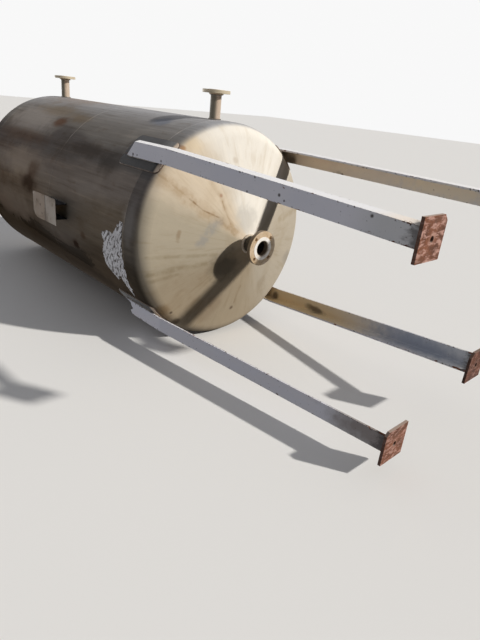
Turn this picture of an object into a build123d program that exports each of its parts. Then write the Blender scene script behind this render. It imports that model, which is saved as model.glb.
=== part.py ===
"""Vertical stainless steel tank with two conical heads, standing on four angle legs.

Millimetres. +Z runs up the tank's axis from the floor, +X points to the side nozzles,
-Y to the nameplate. Parts are drawn with the axis on Z and set down at AXIS as they are written
out, so that the origin is the middle of the whole footprint, level with the base plates' undersides.
"""
from math import cos, pi, radians, sin, sqrt, tan
import os

from build123d import *

os.makedirs("parts", exist_ok=True)

# Shell and heads
SHELL_R = 1219.2 / 2        # outside of a 48 in shell
WALL = 4.8
BOTTOM_TANGENT = 1460.0     # where the bottom head's straight flange ends
TOP_TANGENT = 3540.0
MIDDLE = (BOTTOM_TANGENT + TOP_TANGENT) / 2
HEAD_FLANGE = 70.0          # straight length of each head before its knuckle
KNUCKLE_R = 90.0
CONE_SLOPE = 16.8           # degrees from level
GIRTH_SEAM = 2420.0
BOTTOM_SEAM = BOTTOM_TANGENT + HEAD_FLANGE
TOP_SEAM = TOP_TANGENT - HEAD_FLANGE

# Butt welds between plates
ROOT_GAP = 3.0
BEAD_WIDTH = 10.0
BEAD_PROUD = 1.6
LOWER_SEAM_AT = 75.0        # degrees from +X, clear of the leg pads
UPPER_SEAM_AT = 105.0

# Clearance between parts that sit in or on one another before they are welded
FIT = 0.3

# Nozzles, class 150 slip-on flanges: 3 in on the axis, 2 in on the side
OUTLET_PIPE_R, OUTLET_WALL = 88.9 / 2, 3.05
SIDE_PIPE_R, SIDE_WALL = 60.3 / 2, 2.77
OUTLET_FACE = BOTTOM_TANGENT - 348.0
SIDE_FACE = SHELL_R + 152.4
SIDE_FROM_SEAM = 60.0
PIPE_SETBACK = 5.0          # pipe end to flange face, room for the inner fillet weld
SIDE_PIPE_IN = 11.6         # from the shell's outside to a side pipe's inner end
RAISED_FACE = 1.6
BOLT_HOLE_R = 19.05 / 2

# Legs, equal angle with the heel outward, on rounded pads
ANGLE = 76.2
ANGLE_T = 9.5
ANGLE_ROOT_R = 8.0
PAD_T = 6.35
PAD_WIDTH = 200.0
PAD_BELOW = 44.0            # pad's reach below and above the tangent line
PAD_ABOVE = 300.0
PAD_CORNER_R = 25.0
PAD_WRAP = 40.0             # degrees of knuckle that the pad is rolled over before it is trimmed
TOE_TOP = BOTTOM_TANGENT + 252.0
KINK = BOTTOM_TANGENT - 95.0
# Ragged bite out of leg d's snipped top: each corner's distance from the heel and below TOE_TOP
BITE = [(80, -30), (71, 34), (64, 56), (52, 61), (42, 73), (36, 80), (30, 74), (20, 54), (10, 10)]
BASE = 152.4
BASE_T = 12.7
ANCHOR_R = 22.2 / 2

# Each bent leg's lean below the kink, as a slope towards +X and +Y
LEAN = {"a": (-0.0466, 0.0229), "b": (-0.0155, -0.0030), "c": (0.1013, -0.0666), "d": (-0.0207, 0.1094)}

# The toes' inner corners seat on the pads, which fixes the heel's distance from both axes
SEAT_R = SHELL_R + FIT + PAD_T + FIT
HEEL = (ANGLE + ANGLE_T + sqrt(2 * SEAT_R**2 - (ANGLE - ANGLE_T) ** 2)) / 2
FOOT = HEEL - ANGLE / 2      # plate centre's distance from both axes before a leg was bent

# Nameplate on its stand-off channel
PLATE_OUT = SHELL_R + 75.0
PLATE_X = 15.0
PLATE_W, PLATE_H, PLATE_T = 155.0, 290.0, 3.0
PLATE_Z = GIRTH_SEAM - 270.0
PLATE_BEND_AT = 140.0       # crease above the plate's lower edge
PLATE_BEND = 3.5            # degrees, the upper half sprung outward
PLATE_CORNER_R, PLATE_TORN_R = 10.0, 55.0
BRACKET_W, BRACKET_H, BRACKET_T = 90.0, 225.0, 4.0

PLATE_SPRUNG = (PLATE_H - PLATE_BEND_AT) * tan(radians(PLATE_BEND))

# Where the tank's axis stands, from the reach of the nozzles, the nameplate and the weld beads
BEAD_R = SHELL_R + BEAD_PROUD
AXIS = ((BEAD_R - SIDE_FACE) / 2, (PLATE_OUT + PLATE_SPRUNG - BEAD_R) / 2, 0)

SLOPE = radians(CONE_SLOPE)
CORNERS = {"a": (1, -1), "b": (1, 1), "c": (-1, 1), "d": (-1, -1)}
CLIPPED = {"a": (1, 1, 20.0), "c": (1, -1, 24.0), "d": (1, -1, 16.0)}


def cone_height(radius, inset=0.0):
    """Height of the bottom cone's outside at a radius, or of its inside with the wall as inset."""
    knuckle = KNUCKLE_R - inset
    run = SHELL_R - KNUCKLE_R + knuckle * sin(SLOPE) - radius
    return BOTTOM_TANGENT - knuckle * cos(SLOPE) - run * tan(SLOPE)


def finish(builder, label):
    """Set a part down at the tank's place, name it and write it out."""
    placed = builder.part.moved(Location(AXIS))
    placed.label = label
    export_step(placed, f"parts/{label}.step")


# Bottom head: straight flange, knuckle and cone, turned from one section of the plate
opening = OUTLET_PIPE_R + FIT
with BuildPart() as bottom_head:
    with BuildSketch(Plane.XZ):
        with BuildLine():
            for inset in (0.0, WALL):
                edge = SHELL_R - inset
                Line((edge, BOTTOM_SEAM - ROOT_GAP / 2), (edge, BOTTOM_TANGENT))
                bend = CenterArc((SHELL_R - KNUCKLE_R, BOTTOM_TANGENT), KNUCKLE_R - inset,
                                 0, CONE_SLOPE - 90)
                Line(bend @ 1, (opening, cone_height(opening, inset)))
            Line((opening, cone_height(opening)), (opening, cone_height(opening, WALL)))
            Line((SHELL_R, BOTTOM_SEAM - ROOT_GAP / 2), (SHELL_R - WALL, BOTTOM_SEAM - ROOT_GAP / 2))
        make_face()
    revolve(axis=Axis.Z)
finish(bottom_head, "bottom_head")

# Top head: the same pressing the other way up
with BuildPart() as top_head:
    mirror(bottom_head.part, about=Plane.XY.offset(MIDDLE))
finish(top_head, "top_head")

# Shell courses: rolled plate with a root gap down one side and a hole for its side nozzle
courses = {
    "lower_shell_course": (BOTTOM_SEAM, GIRTH_SEAM, LOWER_SEAM_AT, BOTTOM_SEAM + SIDE_FROM_SEAM),
    "upper_shell_course": (GIRTH_SEAM, TOP_SEAM, UPPER_SEAM_AT, TOP_SEAM - SIDE_FROM_SEAM),
}
for label, (low, high, seam_at, nozzle_z) in courses.items():
    with BuildPart() as course:
        with BuildSketch(Plane.XY.offset(low + ROOT_GAP / 2)):
            Circle(SHELL_R)
            Circle(SHELL_R - WALL, mode=Mode.SUBTRACT)
            with PolarLocations(SHELL_R - WALL / 2, 1, start_angle=seam_at):
                Rectangle(4 * WALL, ROOT_GAP, mode=Mode.SUBTRACT)
        extrude(amount=high - low - ROOT_GAP)
        with BuildSketch(Plane.YZ.offset(SHELL_R - 8 * WALL)):
            with Locations((0, nozzle_z)):
                Circle(SIDE_PIPE_R + FIT)
        extrude(amount=16 * WALL, mode=Mode.SUBTRACT)
    finish(course, label)

# Butt welds: each fills its root gap and stands a little proud of the plate
with BuildSketch() as bead:
    with BuildLine():
        Polyline((SHELL_R, -BEAD_WIDTH / 2), (SHELL_R, -ROOT_GAP / 2), (SHELL_R - WALL, -ROOT_GAP / 2),
                 (SHELL_R - WALL, ROOT_GAP / 2), (SHELL_R, ROOT_GAP / 2), (SHELL_R, BEAD_WIDTH / 2))
        ThreePointArc((SHELL_R, BEAD_WIDTH / 2), (SHELL_R + BEAD_PROUD, 0), (SHELL_R, -BEAD_WIDTH / 2))
    make_face()

# The bottom seam's bead is ground flush where the leg pads cross it
with BuildPart() as flush:
    with BuildSketch(Plane.XY.offset(BOTTOM_SEAM)):
        Circle(SHELL_R + 10 * BEAD_PROUD)
        Circle(SHELL_R, mode=Mode.SUBTRACT)
    extrude(amount=BEAD_WIDTH, both=True)
    with BuildSketch(Plane.XY.offset(BOTTOM_SEAM)):
        Rectangle(4 * SHELL_R, PAD_WIDTH + BEAD_WIDTH, rotation=45)
        Rectangle(4 * SHELL_R, PAD_WIDTH + BEAD_WIDTH, rotation=-45)
    extrude(amount=BEAD_WIDTH, both=True, mode=Mode.INTERSECT)

for label, seam_z in (("bottom_head_weld", BOTTOM_SEAM), ("girth_weld", GIRTH_SEAM),
                      ("top_head_weld", TOP_SEAM)):
    with BuildPart() as ring_weld:
        with BuildSketch(Plane(origin=(0, 0, seam_z), x_dir=(1, 0, 0), z_dir=(0, -1, 0))):
            add(bead.sketch)
        revolve(axis=Axis.Z)
        if seam_z == BOTTOM_SEAM:
            add(flush.part, mode=Mode.SUBTRACT)
    finish(ring_weld, label)

for label, low, high, seam_at in (
    ("lower_seam_weld", BOTTOM_SEAM, GIRTH_SEAM, radians(LOWER_SEAM_AT)),
    ("upper_seam_weld", GIRTH_SEAM, TOP_SEAM, radians(UPPER_SEAM_AT)),
):
    with BuildPart() as seam_weld:
        with BuildSketch(Plane(origin=(0, 0, low + BEAD_WIDTH / 2),
                               x_dir=(cos(seam_at), sin(seam_at), 0), z_dir=(0, 0, 1))):
            add(bead.sketch)
        extrude(amount=high - low - BEAD_WIDTH)
    finish(seam_weld, label)


def slip_on(outside, thick, raised, circle, hub, length, pipe_r):
    """Slip-on flange about Z, its raised face at z = 0 looking down and its hub upward."""
    with BuildPart() as flange:
        with BuildSketch(Plane.XZ):
            with BuildLine():
                Polyline((pipe_r + FIT, 0), (raised / 2, 0), (raised / 2, RAISED_FACE),
                         (outside / 2, RAISED_FACE), (outside / 2, thick), (hub / 2 + 2, thick),
                         (hub / 2, length), (pipe_r + FIT, length), close=True)
            make_face()
        revolve(axis=Axis.Z)
        rims = flange.edges().filter_by(GeomType.CIRCLE).group_by(SortBy.RADIUS)[-1]
        chamfer(rims, 1.2)
        with BuildSketch(Plane.XY.offset(RAISED_FACE)):
            with PolarLocations(circle / 2, 4, start_angle=45):
                Circle(BOLT_HOLE_R)
        extrude(amount=thick, mode=Mode.SUBTRACT)
    return flange.part


flange_3in = slip_on(190.5, 23.9, 127.0, 152.4, 108.0, 30.2, OUTLET_PIPE_R)
flange_2in = slip_on(152.4, 19.1, 92.1, 120.65, 77.8, 25.4, SIDE_PIPE_R)

# Outlet on the axis, and the top nozzle above it
with BuildPart() as outlet_flange:
    with Locations((0, 0, OUTLET_FACE)):
        add(flange_3in)
finish(outlet_flange, "outlet_flange")

with BuildPart() as outlet_neck:
    with BuildSketch(Plane.XY.offset(OUTLET_FACE + PIPE_SETBACK)):
        Circle(OUTLET_PIPE_R)
        Circle(OUTLET_PIPE_R - OUTLET_WALL, mode=Mode.SUBTRACT)
    extrude(amount=cone_height(OUTLET_PIPE_R, WALL) - OUTLET_FACE - PIPE_SETBACK)
finish(outlet_neck, "outlet_neck")

with BuildPart() as top_flange:
    mirror(outlet_flange.part, about=Plane.XY.offset(MIDDLE))
finish(top_flange, "top_flange")

with BuildPart() as top_neck:
    mirror(outlet_neck.part, about=Plane.XY.offset(MIDDLE))
finish(top_neck, "top_neck")

# Side nozzles, low and high
for label, nozzle_z in (("lower_side", BOTTOM_SEAM + SIDE_FROM_SEAM),
                        ("upper_side", TOP_SEAM - SIDE_FROM_SEAM)):
    with BuildPart() as side_flange:
        with Locations(Location((SIDE_FACE, 0, nozzle_z), (0, -90, 0))):
            add(flange_2in)
    finish(side_flange, f"{label}_flange")

    with BuildPart() as side_neck:
        with BuildSketch(Plane.YZ.offset(SHELL_R - SIDE_PIPE_IN)):
            with Locations((0, nozzle_z)):
                Circle(SIDE_PIPE_R)
                Circle(SIDE_PIPE_R - SIDE_WALL, mode=Mode.SUBTRACT)
        extrude(amount=SIDE_FACE - PIPE_SETBACK - SHELL_R + SIDE_PIPE_IN)
    finish(side_neck, f"{label}_neck")

# Leg pads: plate rolled to the shell and over the knuckle, with rounded corners
for name, (sx, sy) in CORNERS.items():
    with BuildPart() as pad:
        with BuildSketch(Plane.XZ):
            with BuildLine():
                ends = []
                for gap in (FIT, FIT + PAD_T):
                    up = Line((SHELL_R + gap, BOTTOM_TANGENT + PAD_ABOVE), (SHELL_R + gap, BOTTOM_TANGENT))
                    bend = CenterArc((SHELL_R - KNUCKLE_R, BOTTOM_TANGENT), KNUCKLE_R + gap, 0, -PAD_WRAP)
                    ends.append((up @ 0, bend @ 1))
                (top_in, foot_in), (top_out, foot_out) = ends
                Line(top_in, top_out)
                Line(foot_in, foot_out)
            make_face()
        revolve(axis=Axis.Z)
        with BuildSketch(Plane(origin=(0, 0, BOTTOM_TANGENT + (PAD_ABOVE - PAD_BELOW) / 2),
                               x_dir=(-sy, sx, 0), z_dir=(sx, sy, 0))):
            RectangleRounded(PAD_WIDTH, PAD_ABOVE + PAD_BELOW, PAD_CORNER_R)
        extrude(amount=2 * SHELL_R, mode=Mode.INTERSECT)
    finish(pad, f"leg_pad_{name}")


def angle_section(sx, sy):
    """Equal angle with its heel at the origin and its toes away from the corner (sx, sy)."""
    points = [(0, 0), (-ANGLE, 0), (-ANGLE, -ANGLE_T),
              (-ANGLE_T, -ANGLE_T), (-ANGLE_T, -ANGLE), (0, -ANGLE)]
    with BuildSketch() as section:
        with BuildLine():
            Polyline([(sx * x, sy * y) for x, y in points], close=True)
        make_face()
        fillet(section.vertices().sort_by_distance((-sx * ANGLE_T, -sy * ANGLE_T))[0], ANGLE_ROOT_R)
    return section.sketch


# Legs: straight over the pad, bent below it as this tank's are, with the tops snipped at 45 degrees.
# Base plates: square, some with a corner clipped, each with one anchor hole
for name, (sx, sy) in CORNERS.items():
    lean_x, lean_y = (slope * (KINK - BASE_T) for slope in LEAN[name])
    section = angle_section(sx, sy)
    with BuildPart() as leg:
        with BuildSketch(Plane.XY.offset(KINK)):
            with Locations((sx * HEEL, sy * HEEL)):
                add(section)
        extrude(amount=TOE_TOP - KINK + ANGLE)
        split(bisect_by=Plane(origin=(sx * HEEL, sy * (HEEL - ANGLE), TOE_TOP), z_dir=(sx, sy, 1)),
              keep=Keep.BOTTOM)
        for height, shift_x, shift_y in ((BASE_T, lean_x, lean_y), (KINK, 0, 0)):
            with BuildSketch(Plane.XY.offset(height)):
                with Locations((sx * HEEL + shift_x, sy * HEEL + shift_y)):
                    add(section)
        loft(ruled=True)
        if name == "d":
            with BuildSketch(Plane(origin=(-HEEL, -HEEL + 2 * ANGLE_T, TOE_TOP), x_dir=(1, 0, 0),
                                   z_dir=(0, -1, 0))):
                with BuildLine():
                    Polyline([(across, -below) for across, below in BITE], close=True)
                make_face()
            extrude(amount=3 * ANGLE_T, mode=Mode.SUBTRACT)
    finish(leg, f"leg_{name}")

    with BuildPart() as base_plate:
        with BuildSketch(Plane((sx * FOOT + lean_x, sy * FOOT + lean_y, 0))) as square:
            Rectangle(BASE, BASE)
            if name in CLIPPED:
                cx, cy, clip = CLIPPED[name]
                corner = (cx * BASE / 2, cy * BASE / 2, 0)
                chamfer(square.vertices().sort_by_distance(corner)[0], clip)
            Circle(ANCHOR_R, mode=Mode.SUBTRACT)
        extrude(amount=BASE_T)
    finish(base_plate, f"base_plate_{name}")

# Nameplate bracket: a channel standing off the shell, cut to the shell's curve
with BuildPart() as bracket:
    with BuildSketch(Plane.XY.offset(PLATE_Z + 15)):
        with Locations((PLATE_X, -(PLATE_OUT - PLATE_T) / 2)):
            Rectangle(BRACKET_W, PLATE_OUT - PLATE_T)
            with Locations((0, BRACKET_T)):
                Rectangle(BRACKET_W - 2 * BRACKET_T, PLATE_OUT - PLATE_T, mode=Mode.SUBTRACT)
        Circle(SHELL_R + FIT, mode=Mode.SUBTRACT)
    extrude(amount=BRACKET_H)
finish(bracket, "nameplate_bracket")

# Nameplate: blank, creased across its middle, one corner torn round
with BuildPart() as nameplate:
    with BuildSketch(Plane.YZ.offset(PLATE_X)):
        with BuildLine():
            Polyline((-PLATE_OUT, PLATE_Z), (-PLATE_OUT, PLATE_Z + PLATE_BEND_AT),
                     (-PLATE_OUT - PLATE_SPRUNG, PLATE_Z + PLATE_H),
                     (-PLATE_OUT - PLATE_SPRUNG + PLATE_T, PLATE_Z + PLATE_H),
                     (-PLATE_OUT + PLATE_T, PLATE_Z + PLATE_BEND_AT), (-PLATE_OUT + PLATE_T, PLATE_Z),
                     close=True)
        make_face()
    extrude(amount=PLATE_W / 2, both=True)
    with BuildSketch(Plane.XZ) as outline:
        with Locations((PLATE_X, PLATE_Z + PLATE_H / 2)):
            Rectangle(PLATE_W, PLATE_H)
        torn = outline.vertices().sort_by_distance((-PLATE_OUT, 2 * TOP_TANGENT, 0))[0]
        fillet(torn, PLATE_TORN_R)
        fillet(outline.vertices().sort_by(Axis.X)[-2:], PLATE_CORNER_R)
    extrude(amount=2 * PLATE_OUT, mode=Mode.INTERSECT)
finish(nameplate, "nameplate")
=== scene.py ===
"""Looks for the vertical stainless steel tank: finishes for its plate, pipe, angle and welds, the fillet
welds that hold it together, and a plain studio seen from below its feet, as a tank laid on its side is."""
import random
from math import atan2, cos, hypot, pi, radians, sin, sqrt

import bpy
from mathutils import Matrix, Vector, noise as pattern


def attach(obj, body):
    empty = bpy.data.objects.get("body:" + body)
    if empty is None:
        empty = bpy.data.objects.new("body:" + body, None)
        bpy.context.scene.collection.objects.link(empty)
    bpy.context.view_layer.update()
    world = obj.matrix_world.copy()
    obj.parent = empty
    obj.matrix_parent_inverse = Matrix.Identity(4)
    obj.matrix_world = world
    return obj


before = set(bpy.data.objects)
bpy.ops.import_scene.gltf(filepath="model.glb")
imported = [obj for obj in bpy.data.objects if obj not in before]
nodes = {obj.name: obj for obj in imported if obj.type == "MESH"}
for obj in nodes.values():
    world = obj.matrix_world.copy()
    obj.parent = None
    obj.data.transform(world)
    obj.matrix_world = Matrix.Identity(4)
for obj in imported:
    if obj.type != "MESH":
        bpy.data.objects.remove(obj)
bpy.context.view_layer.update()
scene = bpy.context.scene

# Sizes and places of the tank, in metres, as its drawing has them
SHELL_R = 0.6096
BOTTOM_TANGENT, TOP_TANGENT = 1.460, 3.540
PAD_FOOT, PAD_HEAD = 1.416, 1.760
PAD_WIDTH, PAD_CORNER_R, PAD_FIT = 0.200, 0.025, 0.0003
ANGLE, ANGLE_T = 0.0762, 0.0095
HEEL = 0.47754
FOOT = HEEL - ANGLE / 2
KINK = 1.365
LEG_TOP = 1.712
BASE_T = 0.0127
CONE_SLOPE = radians(16.8)
KNUCKLE_R = 0.090
PIPE_R = 0.04445
FLANGE_R = 0.0952
SIDE_FLANGE_R = 0.0762
SIDE_PIPE_R = 0.03015
OUTLET_FACE, OUTLET_TOP = 1.112, 1.270
SIDE_FACE = 0.762
RAISED_FACE = 0.0016
# Within this distance of a side nozzle's axis, a point is on that nozzle
NOZZLE_REACH = 0.10
SIDE_NOZZLES = {"lower_side": 1.590, "upper_side": 3.410}
CORNERS = {"a": (1, -1), "b": (1, 1), "c": (-1, 1), "d": (-1, -1)}
LEAN = {"a": (-0.063, 0.031), "b": (-0.021, -0.004), "c": (0.137, -0.090), "d": (-0.028, 0.148)}
NAMEPLATE_OUT = SHELL_R + 0.075
NAMEPLATE_X = 0.015
NAMEPLATE_CREASE = 2.290
BRACKET_W = 0.090
BRACKET_FOOT, BRACKET_HEAD = 2.165, 2.390

# A height at one end of the tank and its mirror image at the other add up to this
BOTH_ENDS = BOTTOM_TANGENT + TOP_TANGENT
TOP_FACE = BOTH_ENDS - OUTLET_FACE

# Where the tank's axis stands: the four base plates' bolt circle isn't the middle of the footprint
AXIS_X, AXIS_Y = -0.0754, 0.0412868
AXIS = Vector((AXIS_X, AXIS_Y, 0))


def new_object(name, data):
    """A new object in the scene."""
    made = bpy.data.objects.new(name, data)
    scene.collection.objects.link(made)
    return made


# Camera, as the photograph's: its place from the axis, its focal length and the picture's height in
# pixels, and its sensor in millimetres
CAMERA_PLACE = Vector((0.7223, -1.9604, -0.7330))
FOCAL_PIXELS, PICTURE_PIXELS, SENSOR = 510.7, 640, 36.0


def laid_down_camera():
    """A low camera off the tank's feet, turned so that the tank lies across the picture."""
    yaw, pitch, roll = radians(45.0), radians(23.2), radians(6.0)
    sky = Vector((1, 0, 0))
    ahead = cos(pitch) * Vector((0, sin(yaw), cos(yaw))) - sin(pitch) * sky
    right = ahead.cross(sky).normalized()
    up = right.cross(ahead)
    right, up = cos(roll) * right + sin(roll) * up, cos(roll) * up - sin(roll) * right
    data = bpy.data.cameras.new("laid_down_camera")
    data.sensor_fit = "AUTO"
    data.sensor_width = SENSOR
    data.lens = FOCAL_PIXELS * SENSOR / PICTURE_PIXELS
    data.clip_start = 0.05
    data.clip_end = 200.0
    camera = new_object("laid_down_camera", data)
    turn = Matrix((right, up, -ahead)).transposed().to_4x4()
    camera.matrix_world = Matrix.Translation(AXIS + CAMERA_PLACE) @ turn
    scene.camera = camera


laid_down_camera()
scene.view_settings.view_transform = "Standard"


# Helpers for shader nodes
def empty_tree(owner):
    """The emptied shader tree of a material or of the world."""
    owner.use_nodes = True
    owner.node_tree.nodes.clear()
    return owner.node_tree


def put(tree, kind, inputs=None, **settings):
    """A shader node with its settings; each input is a value or another node's output."""
    made = tree.nodes.new(kind)
    for name, value in settings.items():
        setattr(made, name, value)
    for key, value in (inputs or {}).items():
        if isinstance(value, bpy.types.NodeSocket):
            tree.links.new(value, made.inputs[key])
        else:
            made.inputs[key].default_value = value
    return made


def calc(tree, operation, a, b=0.0, c=0.0, clamp=False):
    return put(tree, "ShaderNodeMath", {0: a, 1: b, 2: c}, operation=operation, use_clamp=clamp).outputs[0]


def vec(tree, operation, a, b=(0, 0, 0), c=(0, 0, 0), scale=1.0):
    made = put(tree, "ShaderNodeVectorMath", {0: a, 1: b, 2: c, 3: scale}, operation=operation)
    return made.outputs[1] if operation in ("LENGTH", "DOT_PRODUCT") else made.outputs[0]


def times(tree, a, b):
    return calc(tree, "MULTIPLY", a, b)


def plus(tree, a, b):
    return calc(tree, "ADD", a, b)


def minus(tree, a, b):
    return calc(tree, "SUBTRACT", a, b)


def stretch(tree, vector, by):
    return vec(tree, "MULTIPLY", vector, by)


def fade(tree, value, low, high, to_low=0.0, to_high=1.0):
    """Value brought smoothly from to_low at low to to_high at high."""
    return put(tree, "ShaderNodeMapRange", {0: value, 1: low, 2: high, 3: to_low, 4: to_high},
               interpolation_type="SMOOTHSTEP").outputs[0]


def colours(tree, factor, a, b, how="MIX"):
    """Colour a with colour b mixed, or multiplied, into it by the factor."""
    a, b = (tuple(x) + (1.0,) if isinstance(x, tuple) and len(x) == 3 else x for x in (a, b))
    return put(tree, "ShaderNodeMix", {0: factor, 6: a, 7: b}, data_type="RGBA", blend_type=how).outputs[2]


def noise(tree, vector, scale, detail=4.0, roughness=0.55, distortion=0.0):
    return put(tree, "ShaderNodeTexNoise", {"Vector": vector, "Scale": scale, "Detail": detail,
               "Roughness": roughness, "Distortion": distortion}).outputs[0]


def split(tree, vector):
    return put(tree, "ShaderNodeSeparateXYZ", {0: vector}).outputs


def join(tree, x, y, z):
    return put(tree, "ShaderNodeCombineXYZ", {0: x, 1: y, 2: z}).outputs[0]


def effect(name, takes, gives):
    """A shared effect: an empty node group with its sockets, and its ends."""
    tree = bpy.data.node_groups.new(name, "ShaderNodeTree")
    kinds = {"V": "NodeSocketVector", "F": "NodeSocketFloat", "C": "NodeSocketColor"}
    for side, sockets in (("INPUT", takes), ("OUTPUT", gives)):
        for label, (kind, *start) in sockets.items():
            made = tree.interface.new_socket(label, in_out=side, socket_type=kinds[kind])
            if start:
                made.default_value = start[0]
    return tree, put(tree, "NodeGroupInput").outputs, put(tree, "NodeGroupOutput").inputs


def place(tree, group, **inputs):
    """A shared effect placed in a material with its own values."""
    return put(tree, "ShaderNodeGroup", inputs, node_tree=group).outputs


def feed(tree, sockets, **values):
    """Links each value to the socket of its name, on a shader or at the end of a shared effect."""
    for name, value in values.items():
        tree.links.new(value, sockets[name.replace("_", " ")])


# Effects that several finishes share
def make_spot():
    """A ragged spot at a point, with its radii along X, Y and Z."""
    tree, given, result = effect(
        "spot", {"Vector": ("V",), "Centre": ("V", (0, 0, 0)), "Radii": ("V", (0.05, 0.05, 0.05)),
                 "Ragged": ("F", 0.3), "Grain": ("F", 30.0)}, {"Mask": ("F",)})
    reach = vec(tree, "DIVIDE", vec(tree, "SUBTRACT", given["Vector"], given["Centre"]), given["Radii"])
    wobble = minus(tree, noise(tree, given["Vector"], given["Grain"], 3.0), 0.5)
    away = plus(tree, vec(tree, "LENGTH", reach), times(tree, wobble, given["Ragged"]))
    feed(tree, result, Mask=fade(tree, away, 1.0, 0.25))
    return tree


def make_streak():
    """A ragged streak along a straight line between two points."""
    tree, given, result = effect(
        "streak", {"Vector": ("V",), "Start": ("V", (0, 0, 0)), "End": ("V", (0, 0, 1)), "Width": ("F", 0.03),
                   "Ragged": ("F", 0.5), "Grain": ("F", 18.0)}, {"Mask": ("F",)})
    run = vec(tree, "SUBTRACT", given["End"], given["Start"])
    off = vec(tree, "SUBTRACT", given["Vector"], given["Start"])
    part = calc(tree, "DIVIDE", vec(tree, "DOT_PRODUCT", off, run), vec(tree, "DOT_PRODUCT", run, run),
                clamp=True)
    away = vec(tree, "LENGTH", vec(tree, "SUBTRACT", off, vec(tree, "SCALE", run, scale=part)))
    wobble = times(tree, minus(tree, noise(tree, given["Vector"], given["Grain"], 4.0), 0.5), given["Ragged"])
    away = plus(tree, calc(tree, "DIVIDE", away, given["Width"]), wobble)
    feed(tree, result, Mask=fade(tree, away, 1.0, 0.15))
    return tree


def make_tank_place():
    """Where a point is on the tank: its direction and distance from the axis, and its place from there."""
    tree, given, result = effect("tank_place", {"Vector": ("V",)},
                                 {"Around": ("V",), "Radius": ("F",), "Centred": ("V",)})
    centred = vec(tree, "SUBTRACT", given["Vector"], tuple(AXIS))
    flat = stretch(tree, centred, (1, 1, 0))
    feed(tree, result, Around=vec(tree, "NORMALIZE", flat), Radius=vec(tree, "LENGTH", flat), Centred=centred)
    return tree


def make_rust():
    """Old rust: brown, orange and near-black patches with a crust."""
    tree, given, result = effect("rust", {"Vector": ("V",), "Pale": ("F", 0.0)},
                                 {"Colour": ("C",), "Crust": ("F",)})
    broad = noise(tree, given["Vector"], 14.0, 5.0, 0.6)
    fine = noise(tree, given["Vector"], 120.0, 4.0, 0.65)
    tone = colours(tree, fade(tree, broad, 0.36, 0.62), (0.1, 0.036, 0.018), (0.235, 0.088, 0.045))
    tone = colours(tree, fade(tree, fine, 0.55, 0.75), tone, (0.33, 0.125, 0.055))
    tone = colours(tree, fade(tree, fine, 0.42, 0.3), tone, (0.045, 0.018, 0.011))
    scuffed = noise(tree, stretch(tree, given["Vector"], (1.7, 0.6, 1.0)), 40.0, 6.0, 0.7, 0.3)
    pale = times(tree, fade(tree, scuffed, 0.47, 0.6), given["Pale"])
    tone = colours(tree, pale, tone, (0.54, 0.315, 0.255))
    feed(tree, result, Colour=tone, Crust=plus(tree, times(tree, fine, 0.6), times(tree, broad, 0.4)))
    return tree


def make_leg_place():
    """Where a point is on a bent angle leg: its distance in from the heel along each leg of the angle,
    and the nearest of the angle's long edges."""
    tree, given, result = effect(
        "leg_place", {"Vector": ("V",), "Heel": ("V", (0, 0, 0)), "Lean": ("V", (0, 0, 0)),
                      "Side": ("V", (1, 1, 0))}, {"Across": ("F",), "Along": ("F",), "Edge": ("F",)})
    height = split(tree, given["Vector"])[2]
    bend = put(tree, "ShaderNodeMapRange", {0: height, 1: KINK, 2: BASE_T, 3: 0.0, 4: 1.0}).outputs[0]
    heel = vec(tree, "MULTIPLY_ADD", given["Lean"], join(tree, bend, bend, 0.0), given["Heel"])
    inward = stretch(tree, vec(tree, "SUBTRACT", heel, given["Vector"]), given["Side"])
    across, along, _ = split(tree, inward)
    edges = [calc(tree, "ABSOLUTE", minus(tree, ANGLE, across)),
             calc(tree, "ABSOLUTE", minus(tree, ANGLE, along)),
             plus(tree, calc(tree, "ABSOLUTE", across), calc(tree, "ABSOLUTE", along))]
    nearest = calc(tree, "MINIMUM", calc(tree, "MINIMUM", edges[0], edges[1]), edges[2])
    feed(tree, result, Across=across, Along=along, Edge=nearest)
    return tree


spot, streak, tank_place, rust, leg_place = (
    make_spot(), make_streak(), make_tank_place(), make_rust(), make_leg_place())


def cone_height(radius):
    """Height of the bottom cone's outside at a radius."""
    run = SHELL_R - KNUCKLE_R + KNUCKLE_R * sin(CONE_SLOPE) - radius
    return BOTTOM_TANGENT - KNUCKLE_R * cos(CONE_SLOPE) - run * sin(CONE_SLOPE) / cos(CONE_SLOPE)


def finish_named(name, metallic, gloss, **constants):
    """A new material with its shader; constants are set on the shader's own sockets."""
    material = bpy.data.materials.new(name)
    tree = empty_tree(material)
    shader = put(tree, "ShaderNodeBsdfPrincipled", {"Metallic": metallic, "Specular IOR Level": gloss})
    for key, value in constants.items():
        shader.inputs[key.replace("_", " ")].default_value = value
    put(tree, "ShaderNodeOutputMaterial", {"Surface": shader.outputs[0]})
    return material, tree, shader.inputs, put(tree, "ShaderNodeTexCoord").outputs["Object"]


def surface(tree, shader, tone, rough, relief, depth, strength):
    """A finish's colour and bumps, and its roughness: a value and what it fades between, or () where the
    shader has a constant."""
    bump = put(tree, "ShaderNodeBump", {"Height": relief, "Distance": depth, "Strength": strength})
    feed(tree, shader, Base_Color=tone, Normal=bump.outputs[0])
    if rough:
        feed(tree, shader, Roughness=fade(tree, *rough))


def belt(tree, direction, angle, inner, outer):
    """1 where a direction lies within inner degrees of an angle from +X, fading to 0 at outer degrees."""
    a = radians(angle)
    turned = vec(tree, "DOT_PRODUCT", direction, (cos(a), sin(a), 0.0))
    return fade(tree, turned, cos(radians(outer)), cos(radians(inner)))


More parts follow.
